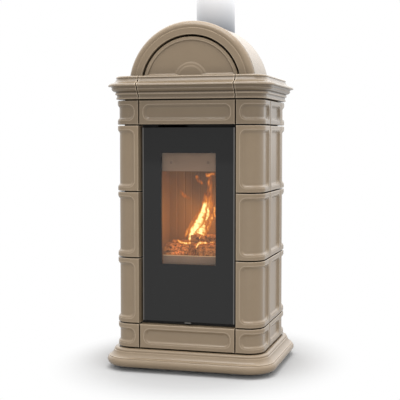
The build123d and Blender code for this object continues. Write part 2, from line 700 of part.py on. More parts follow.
def air_slider():
    """Flat lever under the door with the plate that covers the air holes."""
    bar = block(-LEVER_HALF_W, LEVER_HALF_W, LEVER_Y0, LEVER_Y1, LEVER_Z0, LEVER_Z0 + LEVER_T)
    bar = fillet(bar.edges().filter_by(Axis.Y), LEVER_T / 2 - 0.2)
    z1 = ASH_SHELF_Z - DAMPER_PLAY
    plate = block(-DAMPER_HALF_W, DAMPER_HALF_W, DAMPER_Y0, DAMPER_Y1, z1 - DAMPER_T, z1)
    for x in (-AIR_HOLE_PITCH, 0, AIR_HOLE_PITCH):
        plate -= rod(x, AIR_HOLE_Y + AIR_TRAVEL, z1 - DAMPER_T - 1, z1 + 1, AIR_HOLE_R)
    post = block(-LEVER_HALF_W + 3, LEVER_HALF_W - 3, DAMPER_Y0, LEVER_Y1, LEVER_Z0 + 1, z1 - 1)
    return bar + plate + post


def ash_pan():
    """Folded ash pan with a grip at the front."""
    z0 = ASH_SHELF_Z + ASH_SHELF_T + PAN_PLAY
    pan = block(-PAN_HALF_W, PAN_HALF_W, PAN_Y0, PAN_Y1, z0, z0 + PAN_H)
    pan -= block(
        PAN_T - PAN_HALF_W, PAN_HALF_W - PAN_T, PAN_Y0 + PAN_T, PAN_Y1 - PAN_T, z0 + PAN_T, z0 + PAN_H + 1
    )
    grip_z = z0 + PAN_GRIP_Z
    grip_y = PAN_Y0 - PAN_GRIP_L
    grip = block(-PAN_GRIP_HALF_W, PAN_GRIP_HALF_W, grip_y, PAN_Y0 + 1, grip_z, grip_z + PAN_GRIP_T)
    hollow = PAN_GRIP_HALF_W - PAN_GRIP_T
    grip -= block(-hollow, hollow, grip_y + PAN_GRIP_T, PAN_Y0, grip_z - 1, grip_z + PAN_GRIP_T + 1)
    return pan + grip


def hearth_slab():
    """Refractory floor of the fire with a well for the grate."""
    inner = SHELL_HALF_W - SHELL_T
    slab_block = block(-inner, inner, BRICK_FRONT, SHELL_BACK - SHELL_T, BRICK_Z, HEARTH_Z)
    well = GRATE_HALF_W + 1
    return slab_block - block(-well, well, GRATE_Y0 - 1, GRATE_Y1 + 1, BRICK_Z - 1, HEARTH_Z + 1)


def grate():
    """Cast grate with long slots."""
    plate = block(-GRATE_HALF_W, GRATE_HALF_W, GRATE_Y0, GRATE_Y1, BRICK_Z, BRICK_Z + GRATE_T)
    first = GRATE_RIM_X - GRATE_HALF_W
    half = GRATE_SLOT_W / 2
    y0 = GRATE_Y0 + GRATE_RIM_Y
    y1 = GRATE_Y1 - GRATE_RIM_Y
    for i in range(GRATE_SLOTS):
        x = first - 2 * first * (i + 0.5) / GRATE_SLOTS
        plate -= block(x - half, x + half, y0, y1, BRICK_Z - 1, BRICK_Z + GRATE_T + 1)
    return plate


def firebricks_side():
    """Two equal side bricks."""
    bricks = []
    for side in (-1, 1):
        x0, x1 = sorted((side * FIRE_HALF_W, side * (FIRE_HALF_W + SIDE_BRICK_T)))
        bricks.append(block(x0, x1, BRICK_FRONT, FIRE_BACK, HEARTH_Z, BRICK_TOP))
    return Compound(children=bricks)


def firebrick_back():
    """Back brick with upright grooves."""
    inner = SHELL_HALF_W - SHELL_T
    brick = block(-inner, inner, FIRE_BACK, FIRE_BACK + BACK_BRICK_T, HEARTH_Z, BRICK_TOP)
    for i in range(-GROOVES_A_SIDE, GROOVES_A_SIDE + 1):
        brick -= rod(i * GROOVE_PITCH, FIRE_BACK - GROOVE_OFF, HEARTH_Z - 1, BRICK_TOP + 1, GROOVE_R)
    return brick


def baffle():
    """Board over the fire that turns the smoke."""
    inner = SHELL_HALF_W - SHELL_T - 0.5
    return block(-inner, inner, BAFFLE_FRONT, FIRE_BACK + BACK_BRICK_T, BRICK_TOP, BRICK_TOP + BAFFLE_T)


def log_retainer():
    """Cast bar that keeps the logs off the glass."""
    y0 = RETAINER_Y
    bar = block(-RETAINER_HALF_W, RETAINER_HALF_W, y0, y0 + RETAINER_T, HEARTH_Z, RETAINER_TOP)
    bar = fillet(bar.faces().sort_by(Axis.Z)[-1].edges().filter_by(Axis.X), RETAINER_T / 2 - 0.3)
    half = RETAINER_FOOT_HALF_W
    for x in (-RETAINER_FOOT_X, RETAINER_FOOT_X):
        bar += block(x - half, x + half, y0, y0 + RETAINER_FOOT_L, HEARTH_Z, HEARTH_Z + RETAINER_FOOT_H)
    return bar


def log(length, radius, x, y, z, turn):
    """A split log: a round piece with one flat split side."""
    bar = Rot(0, 90, 0) * Cylinder(radius, length)
    split = Pos(0, 0, -1.55 * radius) * Box(2 * length, 3 * radius, 2 * radius)
    return Pos(x, FRONT + y, z) * Rot(0, 0, turn) * (bar - split)


def upper_air_plate():
    """Plate over the fire opening that turns the air down the glass."""
    y0 = FRAME_Y - AIR_PLATE_T
    plate = block(-AIR_PLATE_HALF_W, AIR_PLATE_HALF_W, y0, FRAME_Y, AIR_PLATE_Z0, AIR_PLATE_Z1)
    return plate - [rod_y(x, BOLT_Z, y0 - 1, FRAME_Y + 1, BOLT_HOLE_R) for x in (-BOLT_X, BOLT_X)]


def air_plate_bolts():
    """Two equal hexagon bolts."""
    bolts = []
    y = FRAME_Y - AIR_PLATE_T
    for x in (-BOLT_X, BOLT_X):
        place = Plane(origin=(x, y, BOLT_Z), x_dir=(1, 0, 0), z_dir=(0, -1, 0))
        head = extrude(place * RegularPolygon(BOLT_HEAD_R, 6), amount=BOLT_HEAD_H, dir=(0, -1, 0))
        bolts.append(head + rod_y(x, BOLT_Z, y - 1, y + AIR_PLATE_T, BOLT_R))
    return Compound(children=bolts)


def smoke_collector():
    """Flat smoke box that leads from the firebox back to the flue."""
    w = COLLECTOR_HALF_W
    low = SHELL_TOP
    collector = block(-w, w, COLLECTOR_Y0, COLLECTOR_Y1, low, COLLECTOR_TOP)
    inner = w - SHEET
    y0 = COLLECTOR_Y0 + SHEET
    y1 = COLLECTOR_Y1 - SHEET
    collector -= block(-inner, inner, y0, y1, low + SHEET, COLLECTOR_TOP - SHEET)
    collector -= block(-SMOKE_HALF_W, SMOKE_HALF_W, SMOKE_Y0, SMOKE_Y1, low - 1, low + SHEET + 1)
    return collector - rod(0, FLUE_Y, COLLECTOR_TOP - SHEET - 1, COLLECTOR_TOP + 1, SPIGOT_R - FLUE_T)


def flue_spigot():
    """Flanged collar that the pipe slips over, with a stop bead."""
    inner = SPIGOT_R - FLUE_T
    collar = rod(0, FLUE_Y, COLLECTOR_TOP, SPIGOT_TOP, SPIGOT_R)
    collar += rod(0, FLUE_Y, COLLECTOR_TOP, COLLECTOR_TOP + FLANGE_T, SPIGOT_R + FLANGE_W)
    collar += rod(0, FLUE_Y, FLUE_Z0 - BEAD_H, FLUE_Z0, FLUE_R)
    return collar - rod(0, FLUE_Y, COLLECTOR_TOP - 1, FLUE_TOP, inner)


def flue_pipe():
    """Smooth smoke pipe."""
    pipe = rod(0, FLUE_Y, FLUE_Z0, FLUE_TOP, FLUE_R)
    return pipe - rod(0, FLUE_Y, FLUE_Z0 - 1, FLUE_TOP + 1, FLUE_R - FLUE_T)


def rope_groove():
    """The shallow groove that holds the seal rope."""
    height = ROPE_Z1 - ROPE_Z0
    origin = (0, STEEL_Y + STEEL_T + 1, (ROPE_Z0 + ROPE_Z1) / 2)
    place = Plane(origin=origin, x_dir=(1, 0, 0), z_dir=(0, -1, 0))
    out = ROPE_R + 0.1
    outer = RectangleRounded(2 * (ROPE_HALF_W + out), height + 2 * out, ROPE_CORNER + out)
    inner = RectangleRounded(2 * (ROPE_HALF_W - out), height - 2 * out, ROPE_CORNER - out)
    return extrude(place * (outer - inner), amount=GROOVE_DEPTH + 1, dir=(0, -1, 0))


def door_seal():
    """Glass-fibre rope round the door, just clear of the front plate."""
    centre_y = STEEL_Y + STEEL_T - GROOVE_DEPTH + ROPE_R
    place = Plane(origin=(0, centre_y, (ROPE_Z0 + ROPE_Z1) / 2), x_dir=(1, 0, 0), z_dir=(0, -1, 0))
    outline = place * RectangleRounded(2 * ROPE_HALF_W, ROPE_Z1 - ROPE_Z0, ROPE_CORNER)
    path = outline.face().outer_wire()
    start = Plane(origin=path @ 0, z_dir=path % 0)
    return sweep(start * Circle(ROPE_R), path)


def door_frame():
    """Cast-iron door frame: window, seal groove, hollow lower field, hinge holes."""
    half = DOOR_HALF_W - TRIM_T - 0.3
    y0, y1 = STEEL_Y, STEEL_Y + STEEL_T
    frame = block(-half, half, y0, y1, DOOR_Z0 + 0.5, DOOR_Z1 - 0.5)
    window = block(-WINDOW_HALF_W, WINDOW_HALF_W, y0 - 1, y1 + 1, WINDOW_Z0, WINDOW_Z1)
    frame -= fillet(window.edges().filter_by(Axis.Y), WINDOW_R)
    frame -= block(-POCKET_HALF_W, POCKET_HALF_W, y1 - POCKET_DEPTH, y1 + 1, POCKET_Z0, POCKET_Z1)
    frame -= rope_groove()
    low, high = lug_heights()
    frame -= block(-half - 1, NOTCH_X, y0 - 1, y1 + 1, DOOR_Z0, low + LUG_T + LUG_GAP)
    frame -= block(-half - 1, NOTCH_X, y0 - 1, y1 + 1, high - LUG_GAP, DOOR_Z1)
    bore = PIN_R + PIN_CLEAR
    frame -= rod(HINGE_X, HINGE_Y, low, low + PIN_L + 1, bore)
    frame -= rod(HINGE_X, HINGE_Y, high + LUG_T - PIN_L - 1, high, bore)
    return frame


def door_glass():
    """One sheet of dark-bordered glass over the whole door."""
    half = DOOR_HALF_W - TRIM_T
    glass = block(-half, half, GLASS_Y, GLASS_Y + GLASS_T, DOOR_Z0, DOOR_Z1)
    return fillet(glass.edges().filter_by(Axis.Y), 1.5)


def door_edge_trims():
    """Two equal metal strips clipped over the upright glass edges."""
    trims = []
    y0 = GLASS_Y - TRIM_T
    for side in (-1, 1):
        x_out = side * DOOR_HALF_W
        lip = sorted((x_out, x_out - side * TRIM_W))
        web = sorted((x_out, x_out - side * TRIM_T))
        strip = block(*lip, y0, GLASS_Y, DOOR_Z0, DOOR_Z1)
        strip += block(*web, y0, GLASS_Y + GLASS_T, DOOR_Z0, DOOR_Z1)
        trims.append(strip)
    return Compound(children=trims)


def save(node, shape):
    export_step(shape, f"parts/{node}.step")


def save_pair(node, shape):
    save(node + "_right", shape)
    save(node + "_left", shape.mirror(Plane.YZ))


def save_tiles():
    """Every glazed tile of the body."""
    gap = JOINT / 2
    tall = (BED_R, OGEE_W, BED_DEPTH)
    low = (FRIEZE_BED_R, FRIEZE_OGEE_W, FRIEZE_BED_DEPTH)
    front_reach = SIDE_SEAM_FRONT - gap
    rear_reach = BODY_D - SIDE_SEAM_REAR - gap
    rear = []
    for row in range(ROWS):
        z0 = FIRST_ROW_Z + row * ROW_H + gap
        z1 = z0 + ROW_H - JOINT
        save_pair(f"corner_tile_{row + 1}", door_corner_tile(z0, z1))
        save_pair(f"side_tile_{row + 1}", side_tile(z0, z1, *tall))
        rear.append(corner_tile(z0, z1, rear_reach, *tall).mirror(Plane.XZ))
    for name, base in (("lower", LOWER_FRIEZE_Z), ("upper", UPPER_FRIEZE_Z)):
        z0 = base + gap
        z1 = base + FRIEZE_H - gap
        rib_z = z1 - RETURN_T if name == "lower" else z0
        save(f"{name}_frieze_front", frieze_tile(z0, z1, rib_z))
        save_pair(f"{name}_frieze_corner", corner_tile(z0, z1, front_reach, *low))
        save_pair(f"{name}_frieze_side", side_tile(z0, z1, *low))
        rear.append(corner_tile(z0, z1, rear_reach, *low).mirror(Plane.XZ))
    save("rear_corner_tiles_right", Compound(children=rear))
    save("rear_corner_tiles_left", Compound(children=[tile.mirror(Plane.YZ) for tile in rear]))


os.makedirs("parts", exist_ok=True)
save_tiles()
save("plinth", plinth())
save("cornice_front", cornice_front())
save_pair("cornice", cornice_side())
save("arch_moulding", arch_moulding())
save("arch_barrel", arch_barrel())
save("arch_lunette", lunette())
save("base_frame", base_frame())
save("levelling_feet", levelling_feet())
save_pair("casing", casing())
save("back_panel", back_panel())
save("top_plate", top_plate())
save("front_frame", front_frame())
save("hinge_pins", hinge_pins())
save("firebox_shell", firebox_shell())
save("air_slider", air_slider())
save("ash_pan", ash_pan())
save("hearth_slab", hearth_slab())
save("grate", grate())
save("firebricks_side", firebricks_side())
save("firebrick_back", firebrick_back())
save("baffle", baffle())
save("log_retainer", log_retainer())
save("logs", Compound(children=[log(*size) for size in LOGS]))
save("upper_air_plate", upper_air_plate())
save("air_plate_bolts", air_plate_bolts())
save("smoke_collector", smoke_collector())
save("flue_spigot", flue_spigot())
save("flue_pipe", flue_pipe())
save("door_frame", door_frame())
save("door_glass", door_glass())
save("door_edge_trims", door_edge_trims())
save("door_seal", door_seal())
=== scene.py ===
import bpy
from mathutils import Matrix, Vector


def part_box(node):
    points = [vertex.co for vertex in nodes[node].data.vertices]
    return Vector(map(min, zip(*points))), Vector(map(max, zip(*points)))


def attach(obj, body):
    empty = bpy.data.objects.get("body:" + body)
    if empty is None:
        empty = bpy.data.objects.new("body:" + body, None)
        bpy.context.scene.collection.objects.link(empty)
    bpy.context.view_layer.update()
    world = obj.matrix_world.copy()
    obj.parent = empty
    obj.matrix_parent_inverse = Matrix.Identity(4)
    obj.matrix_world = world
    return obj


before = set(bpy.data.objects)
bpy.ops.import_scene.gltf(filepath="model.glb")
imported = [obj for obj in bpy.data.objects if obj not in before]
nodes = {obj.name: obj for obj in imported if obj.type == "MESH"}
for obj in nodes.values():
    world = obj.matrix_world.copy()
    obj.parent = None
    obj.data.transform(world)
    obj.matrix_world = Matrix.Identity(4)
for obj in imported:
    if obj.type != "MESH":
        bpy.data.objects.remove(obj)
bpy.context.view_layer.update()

import math

import bpy
from mathutils import Vector, noise

scene = bpy.context.scene

# ---------------------------------------------------------------------------
# Studio: a plain white sweep under soft white light, brighter overhead and
# behind than at the horizon, so the glaze shows pale tops and brown undersides.

def linear(code):
    """A colour written as sRGB hex, as the linear values that a shader takes."""
    parts = [int(code[i:i + 2], 16) / 255 for i in (1, 3, 5)]
    return tuple(c / 12.92 if c <= 0.04045 else ((c + 0.055) / 1.055) ** 2.4 for c in parts) + (1.0,)


def add(tree, kind, inputs=None, **settings):
    """Adds a shader node with its settings, and links or sets its inputs."""
    made = tree.nodes.new("ShaderNode" + kind)
    for name, value in settings.items():
        setattr(made, name, value)
    for name, value in (inputs or {}).items():
        if isinstance(value, bpy.types.NodeSocket):
            tree.links.new(value, made.inputs[name])
        else:
            made.inputs[name].default_value = value
    return made


def blank_material(name):
    """A new material with an empty node tree."""
    made = bpy.data.materials.new(name)
    made.use_nodes = True
    made.node_tree.nodes.clear()
    return made


horizon_light = 0.62
overhead_light = 1.65
gain_behind = 1.7          # the room behind the stove is this much brighter

scene.view_settings.view_transform = "Standard"
world = bpy.data.worlds.new("white_studio")
world.use_nodes = True
tree = world.node_tree
tree.nodes.clear()
toward = add(tree, "SeparateXYZ", {"Vector": add(tree, "TexCoord").outputs["Generated"]})
rise = add(tree, "MapRange", {"Value": toward.outputs["Z"], "From Min": 0.0, "From Max": 0.9,
                              "To Min": horizon_light, "To Max": overhead_light})
behind = add(tree, "MapRange", {"Value": toward.outputs["Y"], "From Min": -0.2, "From Max": 0.5,
                                "To Min": 1.0, "To Max": gain_behind}, interpolation_type="SMOOTHSTEP")
room = add(tree, "Math", {0: rise.outputs[0], 1: behind.outputs[0]}, operation="MULTIPLY")
light = add(tree, "Background", {"Color": linear("#FFFFFF"), "Strength": room.outputs[0]})
backdrop = add(tree, "Background", {"Color": linear("#FFFFFF"), "Strength": 1.0})
path = add(tree, "LightPath")
both = add(tree, "MixShader", {0: path.outputs["Is Camera Ray"], 1: light.outputs[0],
                               2: backdrop.outputs[0]})
add(tree, "OutputWorld", {"Surface": both.outputs[0]})
scene.world = world

# The floor is matt paint under the stove and shines white further out, as an
# overexposed sweep does, with a soft oval edge between the two.
floor_reach = 30.0                   # m
oval_per_metre = (2.25, 1.85, 0.0)   # the matt oval is wider from front to back

floor_corners = [(x * floor_reach, y * floor_reach, 0) for x, y in ((-1, -1), (1, -1), (1, 1), (-1, 1))]
floor_mesh = bpy.data.meshes.new("studio_floor")
floor_mesh.from_pydata(floor_corners, [], [(0, 1, 2, 3)])
floor = bpy.data.objects.new("studio_floor", floor_mesh)
scene.collection.objects.link(floor)
paint = blank_material("white_floor_paint")
tree = paint.node_tree
matt = add(tree, "BsdfDiffuse", {"Color": linear("#AFAFAF"), "Roughness": 0.5})
white = add(tree, "Emission", {"Color": linear("#FFFFFF"), "Strength": 1.0})
dim = add(tree, "Emission", {"Color": linear("#FFFFFF"), "Strength": 0.78})
path = add(tree, "LightPath")
sweep = add(tree, "MixShader", {0: path.outputs["Is Camera Ray"], 1: dim.outputs[0], 2: white.outputs[0]})
oval = add(tree, "VectorMath", {0: add(tree, "TexCoord").outputs["Object"], 1: oval_per_metre},
           operation="MULTIPLY")
away = add(tree, "VectorMath", {0: oval.outputs["Vector"]}, operation="LENGTH")
far = add(tree, "MapRange", {"Value": away.outputs["Value"], "From Min": 0.75, "From Max": 1.3},
          interpolation_type="SMOOTHSTEP")
ground = add(tree, "MixShader", {0: far.outputs[0], 1: matt.outputs[0], 2: sweep.outputs[0]})
add(tree, "OutputMaterial", {"Surface": ground.outputs[0]})
floor_mesh.materials.append(paint)

# Soft boxes, in metres and watts; only the one overhead shows in the gloss.
for name, spot, aim, width, height, power, mirrored in (
        ("light_top", (0.2, -1.0, 3.6), (0.0, 0.0, 0.6), 2.6, 1.8, 56.0, True),
        ("light_back", (0.1, 0.5, 3.2), (0.0, 0.0, 0.6), 2.2, 1.6, 34.0, False),
        ("light_right", (3.2, -0.4, 1.9), (0.2, 0.0, 0.7), 1.2, 2.4, 5.0, False),
        ("light_low", (0.3, -1.6, 0.3), (0.0, -0.3, 0.1), 1.6, 0.5, 3.5, False)):
    lamp = bpy.data.lights.new(name, "AREA")
    lamp.shape = "RECTANGLE"
    lamp.size = width
    lamp.size_y = height
    lamp.energy = power
    holder = bpy.data.objects.new(name, lamp)
    scene.collection.objects.link(holder)
    holder.visible_glossy = mirrored
    holder.location = spot
    holder.rotation_euler = (Vector(aim) - Vector(spot)).to_track_quat("-Z", "Y").to_euler()

# ---------------------------------------------------------------------------
# Camera: right of the middle and a little above half height, with a long lens,
# as the photograph was taken.

camera_place = (0.9737, -3.5565, 0.8427)   # m
camera_down = 3.59                         # degrees below level
camera_turn = 15.51                        # degrees to the left
focal_length = 87.86                       # mm on a 36 mm sensor

lens = bpy.data.cameras.new("photo_camera")
lens.sensor_width = 36.0
lens.lens = focal_length
lens.clip_end = 100.0
camera = bpy.data.objects.new("photo_camera", lens)
camera.location = camera_place
camera.rotation_euler = (math.radians(90 - camera_down), 0.0, math.radians(camera_turn))
scene.collection.objects.link(camera)
scene.camera = camera

# ---------------------------------------------------------------------------
# Body: base plate, casing, front plate, welded firebox, smoke box, flue collar,
# back and top sheets. All are folded and welded mild steel, sprayed with matt
# black heat-proof paint, which looks faintly dusty and mottled.

def per_metre(size):
    """A pattern's scale, from the size in mm of one of its marks."""
    return 1000 / size


def coat(material, *names):
    """Gives the named pieces their finish."""
    for name in names:
        nodes[name].material_slots[0].material = material


paint_grain = 3.85   # mm; real paint is finer, but this is the least that shows
dust_patch = 71.5    # mm

black = blank_material("black_heatproof_paint")
tree = black.node_tree
place = add(tree, "TexCoord").outputs["Object"]
grain = add(tree, "TexNoise", {"Vector": place, "Scale": per_metre(paint_grain), "Detail": 4.0})
dust = add(tree, "TexNoise", {"Vector": place, "Scale": per_metre(dust_patch), "Detail": 3.0})
tone = add(tree, "Mix", {"Factor": dust.outputs[0], "A": linear("#1B1A19"), "B": linear("#2B2927")},
           data_type="RGBA")
bump = add(tree, "Bump", {"Height": grain.outputs[0], "Strength": 0.25, "Distance": 0.0006})
rough = add(tree, "MapRange", {"Value": dust.outputs[0], "To Min": 0.55, "To Max": 0.75})
skin = add(tree, "BsdfPrincipled", {"Base Color": tone.outputs["Result"], "Roughness": rough.outputs[0],
                                    "Normal": bump.outputs[0]})
add(tree, "OutputMaterial", {"Surface": skin.outputs[0]})
coat(black, "base_frame", "casing_left", "casing_right", "front_frame", "firebox_shell", "smoke_collector",
     "flue_spigot", "back_panel", "top_plate")

# ---------------------------------------------------------------------------
# Feet, hinge pins and air slide: plain turned and cut steel. The feet screw
# into nuts on the base plate, the pins are pressed into the lugs of the front
# plate, and the slide hangs in two rails. Fine drawing marks dull the shine.

drawing_mark = 2.94   # mm; coarser than real, so that it shows

steel = blank_material("bright_steel")
tree = steel.node_tree
place = add(tree, "TexCoord").outputs["Object"]
drawn = add(tree, "TexNoise", {"Vector": place, "Scale": per_metre(drawing_mark), "Detail": 2.0})
rough = add(tree, "MapRange", {"Value": drawn.outputs[0], "To Min": 0.28, "To Max": 0.45})
tone = add(tree, "Mix", {"Factor": drawn.outputs[0], "A": linear("#6F6D69"), "B": linear("#83817C")},
           data_type="RGBA")
skin = add(tree, "BsdfPrincipled", {"Base Color": tone.outputs["Result"], "Metallic": 1.0,
                                    "Roughness": rough.outputs[0]})
add(tree, "OutputMaterial", {"Surface": skin.outputs[0]})
coat(steel, "levelling_feet", "hinge_pins", "air_slider")

# ---------------------------------------------------------------------------
# Walls and hearth of the fire, pressed from pale chamotte and set loose in the
# firebox, with a board of the same colour as baffle. The grain is coarse; the
# fire tans it, soot darkens it high up, and smoke greys the middle.

clay_grit = 2.38       # mm
stain_patch = 125.0    # mm
soot_foot, soot_head = 0.50, 0.80       # m above the floor
streak_shift = (0.02, 0.0, -0.40)       # m, added to a point after the stretch
streak_stretch = (1.0, 0.0, 0.6)        # taller than wide, and the same at any depth

clay = blank_material("chamotte")
tree = clay.node_tree
place = add(tree, "TexCoord").outputs["Object"]
grit = add(tree, "TexNoise", {"Vector": place, "Scale": per_metre(clay_grit), "Detail": 4.0})
stain = add(tree, "TexNoise", {"Vector": place, "Scale": per_metre(stain_patch), "Detail": 4.0,
                               "Roughness": 0.6})
tanned = add(tree, "Mix", {"Factor": grit.outputs[0], "A": linear("#87704E"), "B": linear("#A88D60")},
             data_type="RGBA")
height = add(tree, "SeparateXYZ", {"Vector": place})
soot_line = add(tree, "MapRange", {"Value": height.outputs["Z"], "From Min": soot_foot,
                                   "From Max": soot_head})
soot = add(tree, "Math", {0: soot_line.outputs[0], 1: stain.outputs[0]}, operation="MULTIPLY")
sooty = add(tree, "Mix", {"Factor": soot.outputs[0], "A": tanned.outputs["Result"], "B": linear("#453A30")},
            data_type="RGBA")
streak = add(tree, "Mapping", {"Vector": place, "Location": streak_shift, "Scale": streak_stretch})
aside = add(tree, "VectorMath", {0: streak.outputs[0]}, operation="LENGTH")
middle = add(tree, "MapRange", {"Value": aside.outputs["Value"], "From Min": 0.085, "From Max": 0.02,
                                "To Max": 0.75}, interpolation_type="SMOOTHSTEP")
smoked = add(tree, "Mix", {"Factor": middle.outputs[0], "A": sooty.outputs["Result"],
                           "B": linear("#4E453F")}, data_type="RGBA")
bump = add(tree, "Bump", {"Height": grit.outputs[0], "Strength": 0.5, "Distance": 0.001})
skin = add(tree, "BsdfPrincipled", {"Base Color": smoked.outputs["Result"], "Roughness": 0.9,
                                    "Normal": bump.outputs[0]})
add(tree, "OutputMaterial", {"Surface": skin.outputs[0]})
coat(clay, "firebricks_side", "firebrick_back", "hearth_slab", "baffle")

# ---------------------------------------------------------------------------
# Grate, log bar and the air plate over the fire: iron, cast in sand or cut from
# plate, browned by the heat and dulled by a film of ash. The grate and the bar
# rest in place, and two bolts hold the air plate to the front plate.

sand_grain = 3.33    # mm; coarser than real, so that it shows
ash_patch = 50.0     # mm
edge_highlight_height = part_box("log_retainer")[1][2] - 0.0005   # m, just under the top of the log bar
edge_highlight_reach = 0.0022                                   # m above and below that height

iron = blank_material("cast_iron")
tree = iron.node_tree
place = add(tree, "TexCoord").outputs["Object"]
sand = add(tree, "TexNoise", {"Vector": place, "Scale": per_metre(sand_grain), "Detail": 4.0})
film = add(tree, "TexNoise", {"Vector": place, "Scale": per_metre(ash_patch), "Detail": 3.0})
tone = add(tree, "Mix", {"Factor": film.outputs[0], "A": linear("#97806F"), "B": linear("#B79D8B")},
           data_type="RGBA")
# A painted highlight lies as a thin pale line along the top edge of the log bar.
height = add(tree, "SeparateXYZ", {"Vector": place})
rim = add(tree, "Math", {0: height.outputs["Z"], 1: edge_highlight_height, 2: edge_highlight_reach}, operation="COMPARE")
highlit = add(tree, "Mix", {"Factor": rim.outputs[0], "A": tone.outputs["Result"], "B": linear("#F2DCB8")},
           data_type="RGBA")
bump = add(tree, "Bump", {"Height": sand.outputs[0], "Strength": 0.4, "Distance": 0.0008})
skin = add(tree, "BsdfPrincipled", {"Base Color": highlit.outputs["Result"], "Roughness": 0.7,
                                    "Normal": bump.outputs[0]})
add(tree, "OutputMaterial", {"Surface": skin.outputs[0]})
coat(iron, "grate", "log_retainer", "upper_air_plate")

# The bolt heads are the same dull metal, browned a shade darker.
browned = iron.copy()
browned.name = "browned_bolt_iron"
bolt_tone = browned.node_tree.nodes[tone.name]
bolt_tone.inputs["A"].default_value = linear("#857060")
bolt_tone.inputs["B"].default_value = linear("#9E8878")
coat(browned, "air_plate_bolts")

# ---------------------------------------------------------------------------
# Ash pan: folded from galvanised sheet and slid in under the grate. Its zinc
# coat shows as a frosted pattern of crystals.

zinc_crystal = 11.1   # mm

zinc = blank_material("galvanised_sheet")
tree = zinc.node_tree
place = add(tree, "TexCoord").outputs["Object"]
spangle = add(tree, "TexVoronoi", {"Vector": place, "Scale": per_metre(zinc_crystal)})
tone = add(tree, "Mix", {"Factor": spangle.outputs["Color"], "A": linear("#8E9294"), "B": linear("#B4B8B9")},
           data_type="RGBA")
rough = add(tree, "MapRange", {"Value": spangle.outputs["Distance"], "To Min": 0.35, "To Max": 0.55})
skin = add(tree, "BsdfPrincipled", {"Base Color": tone.outputs["Result"], "Metallic": 1.0,
                                    "Roughness": rough.outputs[0]})
add(tree, "OutputMaterial", {"Surface": skin.outputs[0]})
coat(zinc, "ash_pan")

# ---------------------------------------------------------------------------
# Plinth, tiles, friezes, cornice and arch: cast fireclay, set round the casing
# row by row, under a glossy taupe glaze. The glaze drifts softly in colour from
# tile to tile, with faint specks and the slight waviness of a fired surface.

glaze_drift = 111.0    # mm
glaze_speck = 1.11     # mm
glaze_wave = 26.3      # mm
thin_glaze_and_highlight_reach = 0.004      # m: sharp edges are painted paler, partly the glaze running thin there and partly a painted highlight
hollow_pool_and_shade_reach = 0.009    # m: hollows are painted darker, partly the glaze pooling there and partly painted shade

glaze = blank_material("taupe_glaze")
tree = glaze.node_tree
place = add(tree, "TexCoord").outputs["Object"]
cloud = add(tree, "TexNoise", {"Vector": place, "Scale": per_metre(glaze_drift), "Detail": 3.0,
                               "Roughness": 0.55})
speck = add(tree, "TexNoise", {"Vector": place, "Scale": per_metre(glaze_speck), "Detail": 2.0})
body = add(tree, "Mix", {"Factor": cloud.outputs[0], "A": linear("#7F6E59"), "B": linear("#887761")},
           data_type="RGBA")
few = add(tree, "MapRange", {"Value": speck.outputs[0], "From Min": 0.62, "From Max": 0.78})
dotted = add(tree, "Mix", {"Factor": few.outputs[0], "A": body.outputs["Result"], "B": linear("#6B5A46")},
             data_type="RGBA")
# Sharp edges are painted paler: the glaze runs thin there, and a painted highlight is added on top.
edge = add(tree, "AmbientOcclusion", {"Distance": thin_glaze_and_highlight_reach}, inside=True, samples=6)
thin_glaze_and_highlight = add(tree, "MapRange", {"Value": edge.outputs["AO"], "From Min": 0.95, "From Max": 0.55,
                              "To Max": 0.95})
paler = add(tree, "Mix", {"Factor": thin_glaze_and_highlight.outputs[0], "A": dotted.outputs["Result"], "B": linear("#BBA992")},
            data_type="RGBA")
# Hollows, seams and undersides are painted darker: the glaze pools there, and painted shade is added on top.
hollow_pool_and_shade = add(tree, "AmbientOcclusion", {"Distance": hollow_pool_and_shade_reach}, samples=6)
pooled_and_shaded = add(tree, "MapRange", {"Value": hollow_pool_and_shade.outputs["AO"], "From Min": 0.75, "From Max": 0.30,
                                "To Max": 0.8})
glazed = add(tree, "Mix", {"Factor": pooled_and_shaded.outputs[0], "A": paler.outputs["Result"],
                           "B": linear("#3A3026")}, data_type="RGBA")
wave = add(tree, "TexNoise", {"Vector": place, "Scale": per_metre(glaze_wave), "Detail": 1.0})
bump = add(tree, "Bump", {"Height": wave.outputs[0], "Strength": 0.10, "Distance": 0.002})
gloss = add(tree, "MapRange", {"Value": cloud.outputs[0], "To Min": 0.18, "To Max": 0.27})
skin = add(tree, "BsdfPrincipled", {"Base Color": glazed.outputs["Result"], "Roughness": gloss.outputs[0],
                                    "IOR": 1.5, "Normal": bump.outputs[0]})
add(tree, "OutputMaterial", {"Surface": skin.outputs[0]})

# The upper frieze and the cornice take a darker copy of the glaze, painted shade for the dimmer light high
# up and under the overhang.
shaded_glaze = glaze.copy()
shaded_glaze.name = "taupe_glaze_painted_shade"
shaded_body = shaded_glaze.node_tree.nodes[body.name]
shaded_body.inputs["A"].default_value = linear("#6F604D")
shaded_body.inputs["B"].default_value = linear("#776855")

for name in nodes:
    if "upper_frieze" in name or "cornice" in name:
        coat(shaded_glaze, name)
    elif any(part in name for part in ("tile", "frieze", "plinth", "arch_")):
        coat(glaze, name)

# ---------------------------------------------------------------------------
# Flue pipe: smooth rolled steel in grey heat-proof paint with a faint sheen,
# slipped over the collar of the smoke box. It pales towards its top, as in the
# photograph.

paint_mist = 2.0                    # mm
pale_foot, pale_head = 1.25, 1.385  # m above the floor

